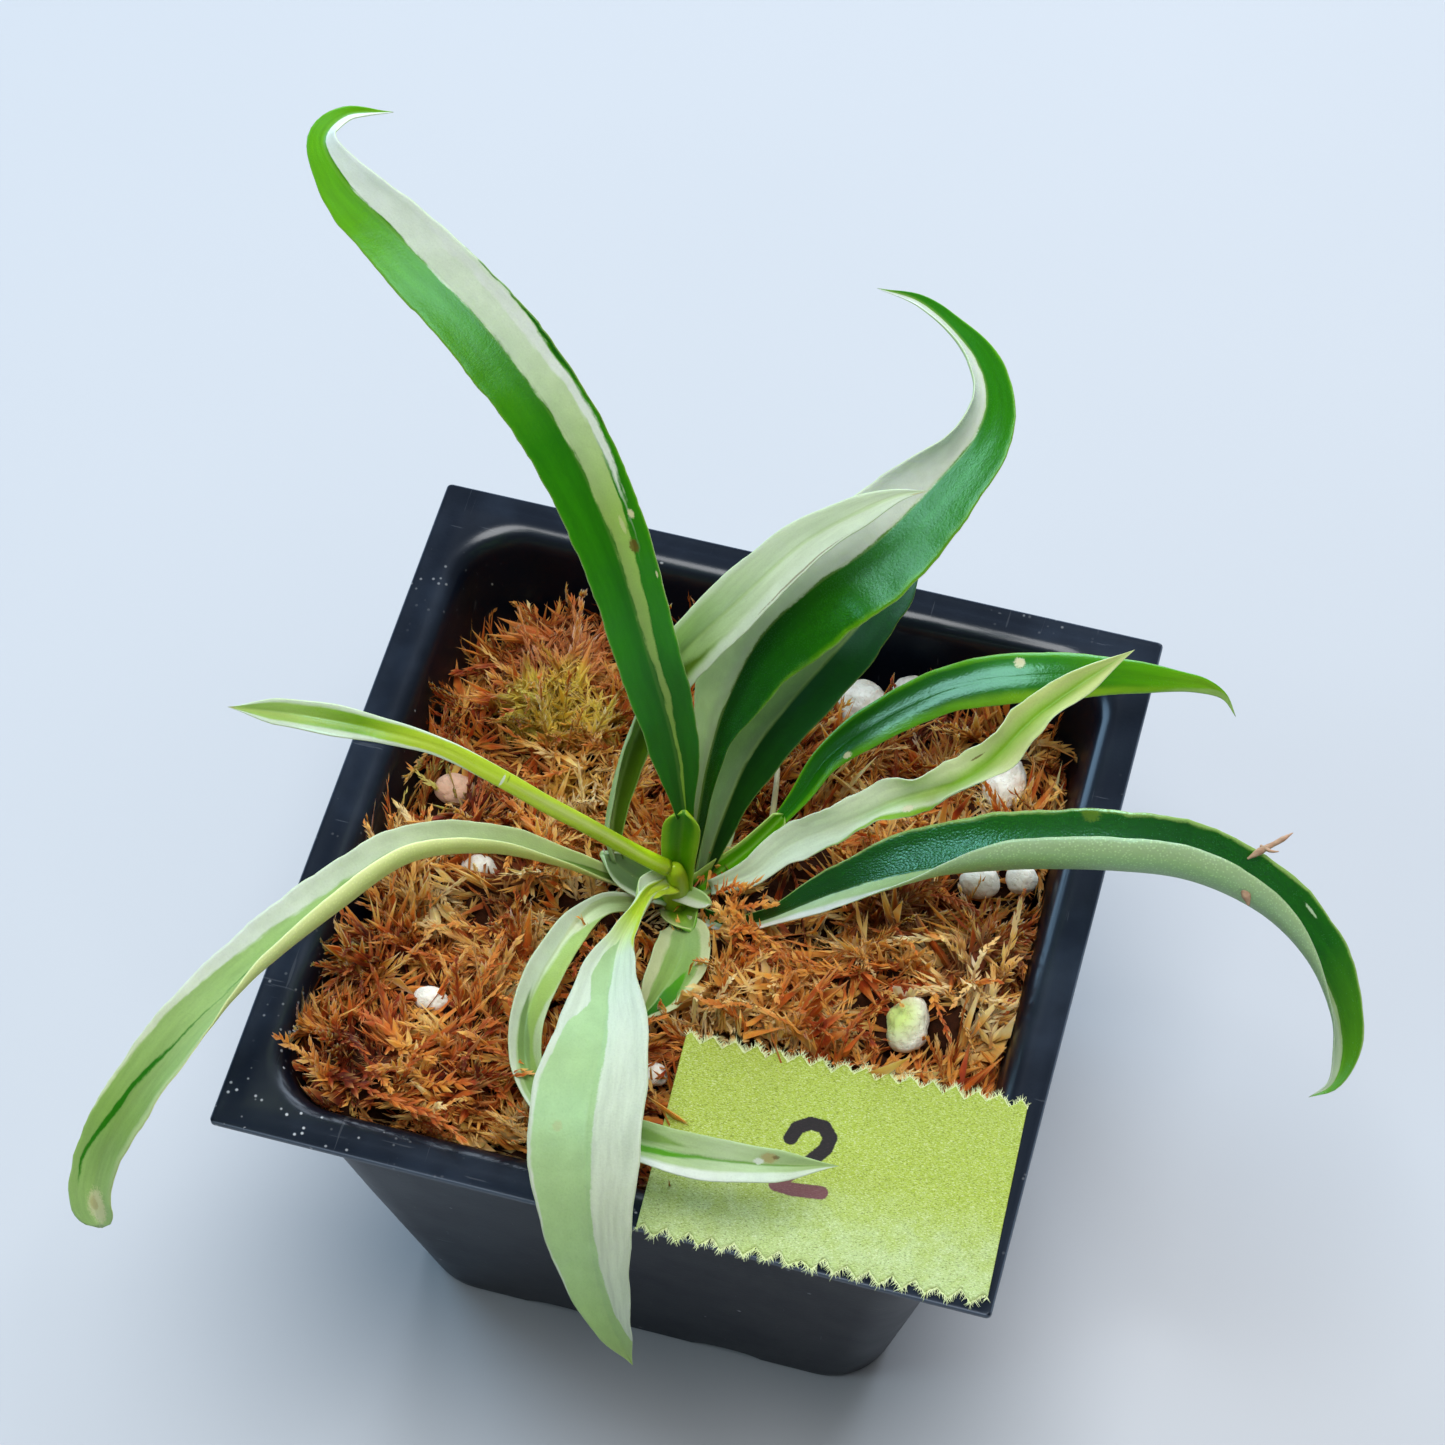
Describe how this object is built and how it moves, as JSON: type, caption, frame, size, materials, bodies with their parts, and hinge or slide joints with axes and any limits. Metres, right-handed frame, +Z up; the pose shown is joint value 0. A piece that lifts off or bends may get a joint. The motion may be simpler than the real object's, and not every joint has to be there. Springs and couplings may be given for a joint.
{
  "type": "potted philodendron",
  "caption": "Young philodendron with long, narrow, curling leaves striped in green and cream, growing in moss in a square black nursery pot with a paper tape label.",
  "frame": {"origin": "centre of the pot's flat underside", "axes": "+Z up, with the front of the pot, where the broad pale leaf hangs over the rim, towards -Y and the label at the front right"},
  "size_m": [0.1122, 0.0966, 0.1173],
  "materials": {
    "pot": "black thin-walled plastic with a fine pebble texture and a low sheen",
    "moss": "matt orange-brown and golden dried sphagnum strands",
    "label": "yellow-green paper tape with a faint sheen",
    "crown": "satin yellow-green stem, sheaths and bracts with pale margins",
    "leaf_green": "glossy saturated green leaf with cream bands",
    "leaf_pale": "satin cream and sage leaf with green bands",
    "leaf_young": "satin yellow-green rolled leaf",
    "pumice": "matt, porous, off-white stone"
  },
  "bodies": {
    "root": {"pot": "pot", "moss": "moss", "label": "label", "crown": "crown", "leaf_1": "leaf_green", "leaf_2": "leaf_pale", "leaf_3": "leaf_green", "leaf_4": "leaf_pale", "leaf_5": "leaf_green", "leaf_6": "leaf_pale", "leaf_7": "leaf_green", "leaf_8": "leaf_young", "leaf_9": "leaf_pale", "leaf_10": "leaf_pale", "leaf_11": "leaf_pale", "leaf_12": "leaf_pale", "pumice_1": "pumice", "pumice_2": "pumice", "pumice_3": "pumice", "pumice_4": "pumice", "pumice_5": "pumice", "pumice_6": "pumice", "pumice_7": "pumice", "pumice_8": "pumice", "pumice_9": "pumice", "pumice_10": "pumice"}
  },
  "joints": []
}
